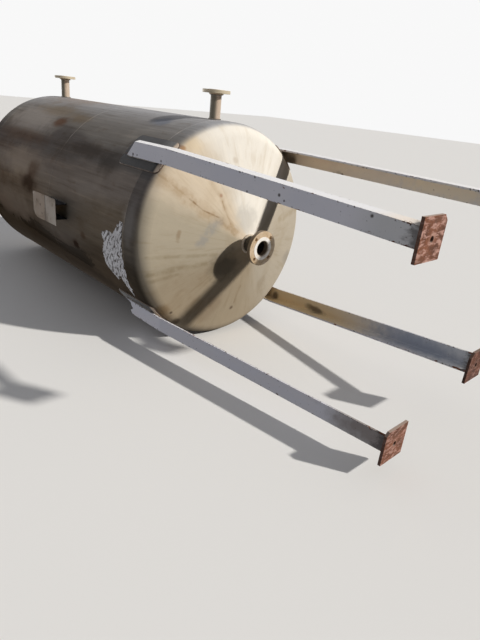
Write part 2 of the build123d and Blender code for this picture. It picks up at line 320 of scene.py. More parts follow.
def straying(tree, direction, vector, scale, reach):
    """A direction that strays a little from place to place, so that belts have uneven edges."""
    stray = put(tree, "ShaderNodeTexNoise", {"Vector": vector, "Scale": scale, "Detail": 4.0}).outputs[1]
    around_zero = vec(tree, "SUBTRACT", stray, (0.5, 0.5, 0.5))
    return vec(tree, "MULTIPLY_ADD", around_zero, (reach, reach, reach), direction)


def tint(tree, tone, mask, most, colour, how="MIX"):
    """The tone with a colour laid over it where the mask is, most strongly by most."""
    return colours(tree, times(tree, mask, most), tone, colour, how)


def spotted(tree, tone, vector, centre, radii, ragged, grain, most, colour):
    """The tone with one ragged spot of a colour laid over it."""
    mask = place(tree, spot, Vector=vector, Centre=centre, Radii=radii, Ragged=ragged, Grain=grain)["Mask"]
    return tint(tree, tone, mask, most, colour)


def round_axis(angle, radius, height):
    """A point at an angle from +X, in degrees, and a radius from the tank's axis."""
    return (radius * cos(radians(angle)), radius * sin(radians(angle)), height)


# Belts down the shell, mostly painted light and shade: middle angle, full and fading half-widths, strength,
# colour
# Pale grey towards +X is painted light; the dark band at -55 degrees and the dark brown round the underside
# are painted shade and a painted reflection of dark ground
SHELL_BELTS = (
    (0, 8, 62, 1.00, (0.395, 0.396, 0.410)),
    (-80, 40, 75, 1.00, (0.200, 0.188, 0.174)),
    (-55, 3, 16, 0.55, (0.066, 0.060, 0.060)),
    (-76, 4, 18, 0.60, (0.190, 0.162, 0.142)),
    (-99, 7, 26, 0.66, (0.105, 0.080, 0.050)),
    (-146, 32, 56, 0.90, (0.040, 0.029, 0.018)),
    (180, 22, 44, 0.90, (0.036, 0.030, 0.026)),
)
# Stains and lighter or darker patches on the shell: angle, height, reach across and along, strength, colour
SHELL_STAINS = (
    (-42.0, 3.080, 0.220, 0.520, 0.50, (0.440, 0.400, 0.368)),
    (-100.0, 3.050, 0.150, 0.520, 0.55, (0.215, 0.180, 0.148)),
    (-71.0, 2.900, 0.140, 0.420, 0.54, (0.300, 0.252, 0.208)),
    (-82.0, 2.728, 0.080, 0.170, 0.80, (0.038, 0.022, 0.013)),
    (-73.0, 2.690, 0.075, 0.130, 0.55, (0.060, 0.036, 0.020)),
    (7.0, 3.020, 0.150, 0.560, 0.70, (0.290, 0.215, 0.170)),
    (-38.0, 2.700, 0.068, 0.120, 0.75, (0.120, 0.060, 0.032)),
    (-32.0, 2.520, 0.080, 0.170, 0.50, (0.190, 0.142, 0.090)),
    (-54.0, 3.060, 0.075, 0.560, 0.55, (0.090, 0.058, 0.034)),
    (-52.0, 2.120, 0.070, 0.330, 0.50, (0.050, 0.038, 0.028)),
    (-56.0, 1.850, 0.100, 0.150, 0.60, (0.055, 0.050, 0.045)),
    (-115.0, 1.740, 0.130, 0.400, 0.26, (0.200, 0.165, 0.120)),
    (-106.0, 2.106, 0.040, 0.060, 0.75, (0.040, 0.018, 0.010)),
    (-98.0, 1.980, 0.030, 0.045, 0.50, (0.050, 0.022, 0.012)),
    (-20.0, 1.790, 0.080, 0.120, 0.80, (0.205, 0.222, 0.262)),
    (-81.0, 1.485, 0.150, 0.090, 0.45, (0.300, 0.285, 0.272)),
    (0.0, 3.050, 0.260, 0.620, 0.50, (0.290, 0.225, 0.180)),
    (-28.0, 2.900, 0.090, 0.420, 0.45, (0.215, 0.165, 0.108)),
    (48.0, 2.200, 0.110, 0.260, 0.45, (0.090, 0.056, 0.034)),
    (95.0, 2.950, 0.130, 0.220, 0.45, (0.085, 0.052, 0.032)),
    (128.0, 1.850, 0.100, 0.280, 0.45, (0.080, 0.050, 0.030)),
    (155.0, 3.050, 0.120, 0.240, 0.40, (0.060, 0.038, 0.024)),
)


def make_plate_film_and_shade():
    """Colour of the shell's plate, with light and shade painted in: paler grey towards +X, a dark brown film
    and painted shade towards -X, belts and stains between.
    """
    tree, given, result = effect("plate_film_and_shade", {"Vector": ("V",)},
                                 {"Colour": ("C",), "Streaks": ("F",), "Cloud": ("F",)})
    where = place(tree, tank_place, Vector=given["Vector"])
    centred = where["Centred"]
    strayed = straying(tree, where["Around"], stretch(tree, centred, (1.0, 1.0, 0.35)), 2.4, 0.26)
    streaks = noise(tree, stretch(tree, centred, (1.0, 1.0, 0.045)), 46.0, 5.0, 0.62)
    cloud = noise(tree, stretch(tree, centred, (1.0, 1.0, 0.7)), 3.0, 5.0, 0.58, 0.4)
    fine = noise(tree, stretch(tree, centred, (1.0, 1.0, 0.4)), 34.0, 5.0, 0.62)
    tone = colours(tree, fade(tree, cloud, 0.3, 0.7), (0.36, 0.34, 0.316), (0.28, 0.254, 0.228))
    for angle, inner, outer, most, colour in SHELL_BELTS:
        tone = tint(tree, tone, belt(tree, strayed, angle, inner, outer), most, colour)
    for value, low, high, most, colour in (
            (streaks, 0.50, 0.70, 0.40, (1.55, 1.50, 1.44)), (streaks, 0.48, 0.30, 0.45, (0.58, 0.54, 0.50)),
            (cloud, 0.50, 0.70, 0.55, (0.72, 0.62, 0.52)), (cloud, 0.44, 0.28, 0.45, (1.35, 1.35, 1.33)),
            (fine, 0.54, 0.74, 0.40, (0.70, 0.60, 0.50))):
        tone = tint(tree, tone, fade(tree, value, low, high), most, colour, "MULTIPLY")
    for angle, height, across, along, most, colour in SHELL_STAINS:
        tone = spotted(tree, tone, centred, round_axis(angle, SHELL_R, height), (across, across, along),
                       0.9, 13.0, most, colour)
    feed(tree, result, Colour=tone, Streaks=streaks, Cloud=cloud)
    return tree


plate_film_and_shade = make_plate_film_and_shade()

# Finishes of the pieces: plate under its film of dirt has no clear gloss and brown edge-on reflections
DULL = {"gloss": 0.0, "Specular_Tint": (0.25, 0.20, 0.16, 1)}


def shell_finish():
    """Dull mill-finished plate under its film of dirt, with light and shade painted into its colour."""
    material, tree, shader, spot_at = finish_named("shell_plate", 0.3, **DULL)
    film_and_shade = place(tree, plate_film_and_shade, Vector=spot_at)
    relief = plus(tree, film_and_shade["Streaks"], times(tree, film_and_shade["Cloud"], 2.0))
    surface(tree, shader, film_and_shade["Colour"], (film_and_shade["Cloud"], 0.3, 0.7, 0.4, 0.55), relief, 0.0012, 0.35)
    return material


def pad_finish():
    """Rolled pad plate, darker than the shell, with rusty rolling lines and painted light: paler on its side
    that faces +X, most of all near the foot, and a pale cream foot end.
    """
    material, tree, shader, spot_at = finish_named("pad_plate", 0.05, 0.08)
    cloud = noise(tree, spot_at, 11.0, 5.0, 0.62)
    lines = noise(tree, stretch(tree, spot_at, (1.0, 1.0, 0.06)), 70.0, 4.0, 0.6)
    tone = colours(tree, fade(tree, cloud, 0.34, 0.66), (0.034, 0.034, 0.036), (0.062, 0.059, 0.058))
    tone = tint(tree, tone, fade(tree, lines, 0.56, 0.7), 0.55, (0.085, 0.04, 0.024))
    facing = split(tree, put(tree, "ShaderNodeTexCoord").outputs["Normal"])[0]
    up_foot = minus(tree, split(tree, spot_at)[2], PAD_FOOT)
    # Painted light: the side that faces +X is paler, most of all near the foot
    lit_side = fade(tree, facing, 0.62, 0.8)
    tone = tint(tree, tone, lit_side, 0.45, (0.13, 0.13, 0.134))
    painted_light = times(tree, lit_side, fade(tree, up_foot, 0.13, 0.03))
    tone = tint(tree, tone, painted_light, 0.55, (0.27, 0.27, 0.262))
    # Painted light: the foot end is pale cream, as lit
    tone = tint(tree, tone, fade(tree, up_foot, 0.026, 0.01), 0.92, (0.64, 0.52, 0.41))
    surface(tree, shader, tone, (cloud, 0.3, 0.7, 0.42, 0.6), plus(tree, cloud, lines), 0.0008, 0.4)
    return material


# Belts round the bottom head, the pale one at 16 degrees a painted highlight: middle angle, full and fading
# half-widths, strength, colour
HEAD_BELTS = (
    (-75, 14, 48, 1.00, (0.500, 0.435, 0.330)),
    (-38, 8, 34, 1.00, (0.710, 0.600, 0.460)),
    (16, 26, 52, 1.00, (0.820, 0.775, 0.700)),
    (100, 34, 72, 0.90, (0.475, 0.418, 0.335)),
    (-160, 20, 60, 0.60, (0.430, 0.345, 0.240)),
)
# Marks on the bottom head: their points' X and Y from the axis, half width, strength, colour
HEAD_STREAKS = (
    (((0.351, -0.490), (0.239, -0.350), (0.160, -0.240)), 0.054, 0.58, (0.480, 0.350, 0.215)),
    (((0.150, -0.215), (0.070, -0.085)), 0.036, 0.60, (0.430, 0.305, 0.180)),
    (((0.347, -0.480), (0.239, -0.341)), 0.009, 0.35, (0.400, 0.270, 0.150)),
    (((0.239, -0.341), (0.183, -0.271), (0.144, -0.183)), 0.006, 0.75, (0.270, 0.165, 0.080)),
    (((0.144, -0.183), (0.055, -0.099)), 0.012, 0.40, (0.360, 0.240, 0.130)),
    (((0.320, -0.215), (0.248, -0.163), (0.181, -0.145), (0.080, -0.099)), 0.018, 0.50,
     (0.470, 0.345, 0.215)),
    (((0.225, -0.157), (0.181, -0.145), (0.110, -0.115)), 0.006, 0.55, (0.360, 0.240, 0.140)),
    (((-0.059, -0.559), (-0.056, -0.387), (-0.053, -0.190)), 0.016, 0.40, (0.290, 0.230, 0.135)),
    (((-0.152, -0.546), (-0.126, -0.395), (-0.104, -0.243)), 0.022, 0.48, (0.270, 0.210, 0.120)),
    (((-0.195, -0.541), (-0.157, -0.392)), 0.016, 0.40, (0.270, 0.210, 0.120)),
    (((0.003, -0.284), (0.052, -0.258), (0.120, -0.187)), 0.040, 0.50, (0.320, 0.318, 0.318)),
    (((0.073, -0.400), (0.028, -0.406)), 0.016, 0.60, (0.320, 0.225, 0.135)),
    (((-0.399, 0.034), (-0.312, 0.033), (-0.282, 0.042)), 0.008, 0.50, (0.270, 0.190, 0.115)),
    (((0.130, 0.560), (0.090, 0.330)), 0.030, 0.40, (0.330, 0.255, 0.160)),
)
# Spots on it: X and Y from the axis, radius, strength, colour
HEAD_SPOTS = (
    (0.255, -0.162, 0.014, 0.60, (0.360, 0.180, 0.110)),
    (0.428, -0.047, 0.028, 0.45, (0.520, 0.430, 0.330)),
    (0.480, -0.350, 0.020, 0.80, (0.400, 0.205, 0.090)),
    (0.507, -0.290, 0.065, 0.38, (0.740, 0.580, 0.360)),
    (-0.392, -0.394, 0.014, 0.80, (0.090, 0.065, 0.045)),
    (-0.375, -0.440, 0.055, 0.65, (0.280, 0.190, 0.100)),
    (-0.461, -0.345, 0.034, 0.75, (0.110, 0.080, 0.055)),
    (-0.431, 0.023, 0.019, 0.80, (0.150, 0.105, 0.070)),
    (-0.366, -0.129, 0.080, 0.50, (0.300, 0.220, 0.145)),
    (-0.444, -0.162, 0.070, 0.45, (0.310, 0.230, 0.155)),
    (-0.185, 0.507, 0.070, 0.45, (0.250, 0.228, 0.205)),
    (-0.300, 0.250, 0.060, 0.30, (0.290, 0.225, 0.150)),
    # Round the outlet: painted shade on its shaded side, then a darker tone over the lit cone next to it
    (-0.130, -0.125, 0.125, 0.80, (0.170, 0.145, 0.105)),
    (0.130, -0.005, 0.110, 0.70, (0.550, 0.520, 0.465)),
)
# The same for the top head
TOP_BELTS = ((20, 20, 60, 0.70, (0.380, 0.355, 0.320)), (-140, 20, 55, 0.60, (0.190, 0.160, 0.125)))
TOP_STREAKS = (
    (((0.090, 0.040), (0.480, 0.240)), 0.034, 0.55, (0.215, 0.160, 0.105)),
    (((-0.080, 0.060), (-0.420, 0.330)), 0.040, 0.50, (0.200, 0.150, 0.100)),
    (((0.020, -0.100), (0.110, -0.520)), 0.036, 0.50, (0.205, 0.150, 0.098)),
    (((-0.090, -0.050), (-0.530, -0.210)), 0.028, 0.45, (0.190, 0.145, 0.095)),
)
# Radii between which a head's own film gives way to the shell's: set far out, so that the pale film also
# paints light over the shaded part of the bottom knuckle
FILM_EDGE = (0.588, 0.6092)


def head_finish(name, low, high, belts, marks, spots, metallic):
    """Pressed end: a pale film with streaks running to the nozzle, shell-coloured over its flange; on the
    bottom head some belts and spots paint light and shade.
    """
    material, tree, shader, spot_at = finish_named(name, metallic, **DULL)
    where = place(tree, tank_place, Vector=spot_at)
    centred, around, radius = where["Centred"], where["Around"], where["Radius"]
    strayed = straying(tree, around, centred, 3.2, 0.3)
    x, y, _ = split(tree, vec(tree, "SCALE", around, scale=2.4))
    radial = join(tree, x, y, times(tree, radius, 0.9))
    rays = noise(tree, radial, 6.0, 5.0, 0.6)
    hair = noise(tree, radial, 30.0, 4.0, 0.65)
    cloud = noise(tree, centred, 4.2, 5.0, 0.58, 0.5)
    tone = colours(tree, fade(tree, cloud, 0.34, 0.66), low, high)
    for angle, inner, outer, most, colour in belts:
        tone = tint(tree, tone, belt(tree, strayed, angle, inner, outer), most, colour)
    for value, start, end, most, colour in (
            (cloud, 0.50, 0.70, 0.40, (0.82, 0.76, 0.68)), (rays, 0.50, 0.68, 0.25, (1.16, 1.15, 1.13)),
            (rays, 0.48, 0.32, 0.32, (0.76, 0.70, 0.60)), (hair, 0.52, 0.72, 0.17, (0.72, 0.64, 0.54))):
        tone = tint(tree, tone, fade(tree, value, start, end), most, colour, "MULTIPLY")
    flat = stretch(tree, centred, (1, 1, 0))
    broken = fade(tree, noise(tree, centred, 24.0, 3.0), 0.38, 0.58, 0.4, 1.0)
    for points, width, most, colour in marks:
        mask = 0.0
        for start, end in zip(points[:-1], points[1:]):
            part = place(tree, streak, Vector=flat, Start=(*start, 0), End=(*end, 0), Width=width,
                         Ragged=1.2, Grain=20.0)["Mask"]
            mask = calc(tree, "MAXIMUM", part, mask)
        tone = tint(tree, tone, times(tree, mask, broken), most, colour)
    for px, py, reach, most, colour in spots:
        tone = spotted(tree, tone, centred, (px, py, cone_height(hypot(px, py))), (reach, reach, 0.2),
                       0.8, 24.0, most, colour)
    film_and_shade = place(tree, plate_film_and_shade, Vector=spot_at)
    tone = colours(tree, fade(tree, radius, *FILM_EDGE), tone, film_and_shade["Colour"])
    surface(tree, shader, tone, (cloud, 0.3, 0.7, 0.42, 0.56), plus(tree, hair, rays), 0.0006, 0.25)
    return material


def weld_finish(name, dull, bright, metallic=0.35, gloss=0.40):
    """Weld metal: ripples across the bead, heat tint and dull grey."""
    material, tree, shader, spot_at = finish_named(name, metallic, gloss)
    cloud = noise(tree, spot_at, 22.0, 4.0, 0.6)
    grain = noise(tree, spot_at, 160.0, 3.0, 0.6)
    tone = colours(tree, fade(tree, cloud, 0.35, 0.65), dull, bright)
    tone = tint(tree, tone, fade(tree, grain, 0.55, 0.75), 0.5, (0.11, 0.06, 0.034))
    surface(tree, shader, tone, (grain, 0.3, 0.7, 0.38, 0.6), grain, 0.001, 0.5)
    return material


def seam_finish():
    """Ground-down seam: the shell's own film with its painted light and shade, a little paler along its
    ripples.
    """
    material, tree, shader, spot_at = finish_named("seam_metal", 0.3, Roughness=0.48, **DULL)
    film_and_shade = place(tree, plate_film_and_shade, Vector=spot_at)
    worn = fade(tree, noise(tree, spot_at, 5.0, 3.0), 0.46, 0.62)
    tone = tint(tree, film_and_shade["Colour"], worn, 0.4, (1.65, 1.6, 1.56), "MULTIPLY")
    surface(tree, shader, tone, (), noise(tree, spot_at, 160.0, 3.0, 0.6), 0.0008, 0.4)
    return material


# The way that the painted-shade side of a side nozzle's pipe faces
SHADE_SIDE_WAY = (0, -0.764, 0.645)


def nozzle_finish():
    """Pipe and turned flanges: tan film, near-white on the raised faces, with painted shade on the outlet's
    neck, flange rim and bore, and on one side of each side pipe.
    """
    material, tree, shader, spot_at = finish_named("nozzle_steel", 0.15, 0.18)
    centred = place(tree, tank_place, Vector=spot_at)["Centred"]
    x, _, z = split(tree, centred)
    cloud = noise(tree, spot_at, 9.0, 4.0, 0.6)
    fine = noise(tree, spot_at, 70.0, 4.0, 0.6)
    tone = colours(tree, fade(tree, cloud, 0.35, 0.65), (0.4, 0.29, 0.17), (0.53, 0.43, 0.31))
    tone = tint(tree, tone, fade(tree, fine, 0.5, 0.7), 0.55, (0.26, 0.14, 0.07))
    low_end = fade(tree, z, OUTLET_TOP + 0.03, OUTLET_TOP)
    tone = tint(tree, tone, low_end, 1.0, (1.38, 1.38, 1.42), "MULTIPLY")
    # Painted shade: the outlet's neck under its flange is nearly black
    neck = times(tree, fade(tree, z, OUTLET_FACE + 0.029, OUTLET_FACE + 0.032), low_end)
    tone = tint(tree, tone, neck, 0.96, (0.04, 0.034, 0.026))
    reach = vec(tree, "LENGTH", stretch(tree, centred, (1, 1, 0)))
    rim = times(tree, fade(tree, reach, FLANGE_R - 0.0014, FLANGE_R - 0.0004), low_end)
    bore = times(tree, fade(tree, reach, PIPE_R - 0.0018, PIPE_R - 0.0026), low_end)
    # Painted shade on the outlet flange's rim and down its bore
    tone = tint(tree, tone, rim, 0.8, (0.11, 0.085, 0.06))
    tone = tint(tree, tone, bore, 0.62, (0.036, 0.033, 0.038))
    beyond = fade(tree, x, SHELL_R - 0.02, SHELL_R - 0.01)
    for nozzle_z in SIDE_NOZZLES.values():
        off = stretch(tree, vec(tree, "SUBTRACT", centred, (0, 0, nozzle_z)), (0, 1, 1))
        out = vec(tree, "LENGTH", off)
        pipe = times(tree, fade(tree, out, SIDE_PIPE_R + 0.004, SIDE_PIPE_R + 0.001), beyond)
        rim = times(tree, fade(tree, out, SIDE_FLANGE_R - 0.0014, SIDE_FLANGE_R - 0.0004), beyond)
        rim = times(tree, rim, calc(tree, "LESS_THAN", out, NOZZLE_REACH))
        # Painted shade on the side of each side pipe that faces away from the light
        painted_shade = fade(tree, vec(tree, "DOT_PRODUCT", off, SHADE_SIDE_WAY), -0.012, 0.005)
        tone = tint(tree, tone, rim, 0.55, (0.64, 0.58, 0.44))
        tone = tint(tree, tone, pipe, 0.6, (0.6, 0.49, 0.41))
        tone = tint(tree, tone, times(tree, painted_shade, pipe), 0.85, (0.13, 0.125, 0.095))
    faces = (fade(tree, z, OUTLET_FACE + RAISED_FACE, OUTLET_FACE + RAISED_FACE / 2),
             fade(tree, z, TOP_FACE - RAISED_FACE, TOP_FACE - RAISED_FACE / 2),
             fade(tree, x, SIDE_FACE - RAISED_FACE, SIDE_FACE - RAISED_FACE / 2))
    face = calc(tree, "MAXIMUM", calc(tree, "MAXIMUM", faces[0], faces[1]), faces[2])
    bright = colours(tree, fade(tree, fine, 0.46, 0.74), (0.95, 0.915, 0.86), (0.74, 0.66, 0.56))
    tone = tint(tree, tone, face, 0.94, bright)
    surface(tree, shader, tone, (fine, 0.3, 0.7, 0.36, 0.54), fine, 0.0006, 0.4)
    return material


# Tones on each leg: how strongly its outer faces are dirtied, how strongly its inner faces are tinted, and
# their colour; the tan of legs b and c is partly grime and partly painted light thrown onto them from the
# ground and the head
LEG_GRIME_AND_BOUNCE_LIGHT = {"a": (0.18, 0.45, (0.300, 0.240, 0.160)), "b": (0.24, 0.80, (0.780, 0.610, 0.410)),
             "c": (0.40, 0.88, (0.780, 0.590, 0.320)), "d": (0.24, 0.60, (0.300, 0.240, 0.160))}
CHIP_BLACK = (0.040, 0.028, 0.022)
# Smears, chips and patches on each leg, the pale tan patches of leg b painted light thrown up from the ground
# and the head: X and Y from the tank's axis and height, radii, strength, colour
LEG_SMEARS = {
    "a": tuple((at, (reach, 0.02, reach), 0.92, CHIP_BLACK) for at, reach in (
        ((0.399, -0.461, 0.625), 0.009), ((0.382, -0.460, 0.596), 0.006), ((0.409, -0.451, 0.205), 0.010),
        ((0.380, -0.465, 0.801), 0.007), ((0.415, -0.478, 1.401), 0.009), ((0.414, -0.478, 1.615), 0.007),
        ((0.414, -0.478, 1.653), 0.009), ((0.462, -0.470, 1.043), 0.007), ((0.454, -0.466, 0.853), 0.010),
        ((0.444, -0.464, 0.764), 0.008))),
    "b": (((0.420, 0.468, 1.395), (0.05, 0.05, 0.050), 0.80, (0.120, 0.085, 0.055)),
          ((0.397, 0.467, 1.040), (0.02, 0.05, 0.030), 0.60, (0.200, 0.160, 0.120)),
          ((0.431, 0.467, 1.180), (0.05, 0.05, 0.120), 0.35, (0.900, 0.720, 0.520)),
          ((0.440, 0.460, 0.780), (0.10, 0.10, 0.400), 0.60, (0.950, 0.810, 0.620)),
          ((0.430, 0.460, 0.400), (0.10, 0.10, 0.400), 0.80, (0.980, 0.830, 0.600))),
    "c": (((-0.418, 0.446, 1.030), (0.03, 0.05, 0.110), 0.85, (0.140, 0.105, 0.070)),
          ((-0.454, 0.468, 1.385), (0.05, 0.05, 0.035), 0.80, (0.120, 0.085, 0.055)),
          ((-0.357, 0.410, 0.300), (0.10, 0.10, 0.450), 0.55, (0.160, 0.210, 0.320))),
    "d": (((-0.452, -0.350, 0.060), (0.10, 0.10, 0.320), 0.75, (0.200, 0.155, 0.135)),),
}


def leg_finish(name):
    """Painted angle: off-white, grimy inside and towards its top, chipped black, and rusty at its foot;
    painted light makes its outer face towards +X paler and tints the inner faces of legs b and c.
    """
    sx, sy = CORNERS[name]
    outer, inner, inner_tone = LEG_GRIME_AND_BOUNCE_LIGHT[name]
    lean = LEAN[name]
    material, tree, shader, spot_at = finish_named(f"leg_paint_{name}", 0.0, 0.08)
    where = place(tree, leg_place, Vector=spot_at, Heel=(AXIS_X + sx * HEEL, AXIS_Y + sy * HEEL, 0),
                  Lean=(lean[0], lean[1], 0), Side=(sx, sy, 0))
    z = split(tree, spot_at)[2]
    rusted = place(tree, rust, Vector=spot_at)
    cloud = noise(tree, stretch(tree, spot_at, (1.0, 1.0, 0.5)), 7.0, 5.0, 0.62)
    chips = noise(tree, stretch(tree, spot_at, (1.0, 1.0, 0.6)), 40.0, 6.0, 0.64)
    specks = noise(tree, spot_at, 120.0, 3.0, 0.6)
    tone = colours(tree, fade(tree, cloud, 0.36, 0.66), (0.705, 0.697, 0.745), (0.835, 0.827, 0.88))
    dirty = fade(tree, cloud, 0.34, 0.64)
    tone = tint(tree, tone, dirty, outer, (0.34, 0.275, 0.215))
    tone = tint(tree, tone, fade(tree, z, 0.34, 0.14), 0.45, (0.5, 0.5, 0.44))
    depth = calc(tree, "MINIMUM", where["Across"], where["Along"])
    inside = fade(tree, depth, ANGLE_T - 0.0016, ANGLE_T - 0.0006)
    up = fade(tree, plus(tree, z, times(tree, cloud, 0.5)), 0.55, 1.35, 0.12, 1.0)
    # Inner faces: a cool blue-grey tint, then grime and, on legs b and c, painted light thrown up from the
    # ground and the head, more towards the top
    tone = tint(tree, tone, inside, 0.80 * inner, (0.62, 0.675, 0.76))
    tone = tint(tree, tone, times(tree, inside, up), inner, inner_tone)
    for (x, y, height), radii, most, colour in LEG_SMEARS[name]:
        centre = (AXIS_X + x, AXIS_Y + y, height)
        tone = spotted(tree, tone, spot_at, centre, radii, 0.8, 26.0, most, colour)
    if sx > 0:
        # Painted light: the outer face that looks along +X is paler, and muddy at its foot
        painted_light = fade(tree, where["Across"], 0.0014, 0.0006)
        tone = tint(tree, tone, painted_light, 0.9, (0.87, 0.862, 0.865))
        muddy = times(tree, painted_light, fade(tree, z, 0.24, 0.08))
        tone = tint(tree, tone, muddy, 0.6, (0.86, 0.72, 0.57))
    edge = fade(tree, where["Edge"], 0.012, 0.0)
    foot = fade(tree, z, 0.14, 0.015)
    scorched = plus(tree, z, times(tree, chips, 0.16))
    tone = tint(tree, tone, fade(tree, scorched, 0.165, 0.105), 0.8, (0.085, 0.076, 0.07))
    pepper = plus(tree, specks, calc(tree, "MULTIPLY_ADD", edge, 0.1, times(tree, foot, 0.07)))
    tone = colours(tree, fade(tree, pepper, 0.7, 0.725), tone, (0.045, 0.03, 0.024))
    bare = plus(tree, chips, calc(tree, "MULTIPLY_ADD", edge, 0.105, times(tree, foot, 0.12)))
    mask = fade(tree, bare, 0.715, 0.735)
    tone = colours(tree, mask, tone, rusted["Colour"])
    relief = minus(tree, times(tree, cloud, 0.3), times(tree, mask, 0.8))
    surface(tree, shader, tone, (mask, 0.0, 1.0, 0.52, 0.85), relief, 0.0006, 0.8)
    return material


# How far each base plate is darkened by painted shade, against that of leg a
BASE_PAINTED_SHADE = {"b": 0.25, "c": 0.80, "d": 0.18}


def base_finish(name):
    """Bare base plate: rust, scuffed pale underneath, with painted shade on its edges, top and anchor hole
    wall, and painted light on its side that faces +X.
    """
    sx, sy = CORNERS[name]
    hole = (AXIS_X + LEAN[name][0] + sx * FOOT, AXIS_Y + LEAN[name][1] + sy * FOOT, 0.0)
    material, tree, shader, spot_at = finish_named(f"base_plate_rust_{name}", 0.0, 0.3)
    rusted = place(tree, rust, Vector=spot_at, Pale=0.9)
    tone = tint(tree, rusted["Colour"], fade(tree, noise(tree, spot_at, 15.0, 4.0, 0.6), 0.52, 0.64), 0.5,
                (0.120, 0.062, 0.042))
    tone = spotted(tree, tone, spot_at, hole, (0.03, 0.03, 0.2), 0.5, 45.0, 0.45, (0.4, 0.225, 0.165))
    # Painted shade: the plate's edges, top and anchor hole wall are near black
    tone = tint(tree, tone, fade(tree, split(tree, spot_at)[2], 0.0002, 0.0012), 0.78, (0.06, 0.035, 0.025))
    # Painted light: the side that faces +X is pale pink
    facing = split(tree, put(tree, "ShaderNodeTexCoord").outputs["Normal"])[0]
    tone = tint(tree, tone, fade(tree, facing, 0.5, 0.9), 0.7, (0.52, 0.4, 0.33))
    tone = colours(tree, BASE_PAINTED_SHADE.get(name, 0.0), tone, (0.35, 0.28, 0.24), "MULTIPLY")
    surface(tree, shader, tone, (rusted["Crust"], 0.3, 0.7, 0.72, 0.92), rusted["Crust"], 0.0012, 0.7)
    return material


def bracket_finish():
    """Steel of the channel behind the nameplate, painted near-black for the shade it stands in under the
    plate.
    """
    material, tree, shader, spot_at = finish_named("bracket_steel", 0.0, 0.02)
    cloud = noise(tree, spot_at, 16.0, 4.0, 0.6)
    tone = colours(tree, fade(tree, cloud, 0.35, 0.65), (0.012, 0.012, 0.015), (0.026, 0.025, 0.028))
    surface(tree, shader, tone, (cloud, 0.3, 0.7, 0.45, 0.65), cloud, 0.001, 0.4)
    return material


def nameplate_finish():
    """Blank plate: taupe film, browner and spotted on its upper half, with painted shade along its crease."""
    material, tree, shader, spot_at = finish_named("nameplate_steel", 0.12, 0.12)
    z = split(tree, spot_at)[2]
    cloud = noise(tree, spot_at, 13.0, 4.0, 0.6)
    fine = noise(tree, stretch(tree, spot_at, (0.12, 1.0, 1.0)), 70.0, 4.0, 0.6)
    above_crease = minus(tree, z, NAMEPLATE_CREASE)
    lower = fade(tree, above_crease, 0.012, -0.01)
    tone = colours(tree, lower, (0.262, 0.196, 0.14), (0.262, 0.214, 0.17))
    tone = tint(tree, tone, fade(tree, cloud, 0.5, 0.66), 0.55, (0.14, 0.095, 0.058))
    tone = tint(tree, tone, fade(tree, fine, 0.52, 0.7), 0.3, (0.3, 0.27, 0.24))
    off_crease = calc(tree, "ABSOLUTE", above_crease)
    # Painted shade along the crease
    tone = tint(tree, tone, fade(tree, off_crease, 0.01, 0.002), 0.7, (0.08, 0.06, 0.044))
    for x, height, reach in ((-0.040, 2.335, 0.010), (0.010, 2.352, 0.012), (0.030, 2.395, 0.011)):
        tone = spotted(tree, tone, spot_at, (AXIS_X + NAMEPLATE_X + x, AXIS_Y - NAMEPLATE_OUT, height),
                       (reach, 0.05, reach), 0.6, 60.0, 0.8, (0.110, 0.066, 0.040))
    surface(tree, shader, tone, (cloud, 0.3, 0.7, 0.38, 0.56), fine, 0.0004, 0.4)
    return material


def residue_finish():
    """Pale residue of a sheet once stuck on the shell, flecked dark where it has lifted."""
    material, tree, shader, spot_at = finish_named("residue", 0.0, 0.25, Roughness=0.75)
    x, _, z = split(tree, spot_at)
    level, fall = 0.86, 0.50
    along = minus(tree, times(tree, x, level), times(tree, z, fall))
    across = plus(tree, times(tree, x, fall), times(tree, z, level))
    flecks = noise(tree, join(tree, times(tree, along, 0.3), 0.0, across), 72.0, 4.0, 0.62)
    cloud = noise(tree, spot_at, 18.0, 3.0, 0.6)
    tone = colours(tree, fade(tree, cloud, 0.35, 0.65), (0.64, 0.62, 0.615), (0.78, 0.765, 0.765))
    tone = tint(tree, tone, fade(tree, flecks, 0.53, 0.57), 0.92, (0.06, 0.048, 0.04))
    surface(tree, shader, tone, (), flecks, 0.0006, 0.5)
    return material


def dress(material, *names):
    """Puts a finish on the named nodes."""
    for name in names:
        nodes[name].data.materials.clear()
        nodes[name].data.materials.append(material)


weld_metal = weld_finish("weld_metal", (0.115, 0.098, 0.082), (0.250, 0.225, 0.200))
pale_weld = weld_finish("pale_weld", (0.520, 0.440, 0.340), (0.720, 0.640, 0.530), 0.0, 0.04)
rusty_weld = weld_finish("rusty_weld", (0.050, 0.032, 0.022), (0.110, 0.078, 0.056))
# Beads of the nameplate's channel, near-black as painted shade like the channel
dark_weld = weld_finish("dark_weld", (0.022, 0.018, 0.016), (0.048, 0.042, 0.038), 0.10, 0.10)
dress(shell_finish(), "lower_shell_course", "upper_shell_course")
dress(head_finish("top_head_film", (0.330, 0.305, 0.270), (0.260, 0.232, 0.196), TOP_BELTS, TOP_STREAKS,
                  (), 0.18), "top_head")
dress(pad_finish(), *(f"leg_pad_{n}" for n in CORNERS))
dress(head_finish("bottom_head_film_and_painted_light", (0.430, 0.360, 0.262), (0.385, 0.315, 0.222), HEAD_BELTS, HEAD_STREAKS,
                  HEAD_SPOTS, 0.0), "bottom_head")
dress(seam_finish(), "bottom_head_weld", "girth_weld", "top_head_weld", "lower_seam_weld", "upper_seam_weld")
dress(nozzle_finish(), *(f"{n}_{part}" for n in ("outlet", "top", "lower_side", "upper_side")
                         for part in ("neck", "flange")))
for corner in CORNERS:
    dress(leg_finish(corner), f"leg_{corner}")
    dress(base_finish(corner), f"base_plate_{corner}")
dress(bracket_finish(), "nameplate_bracket")
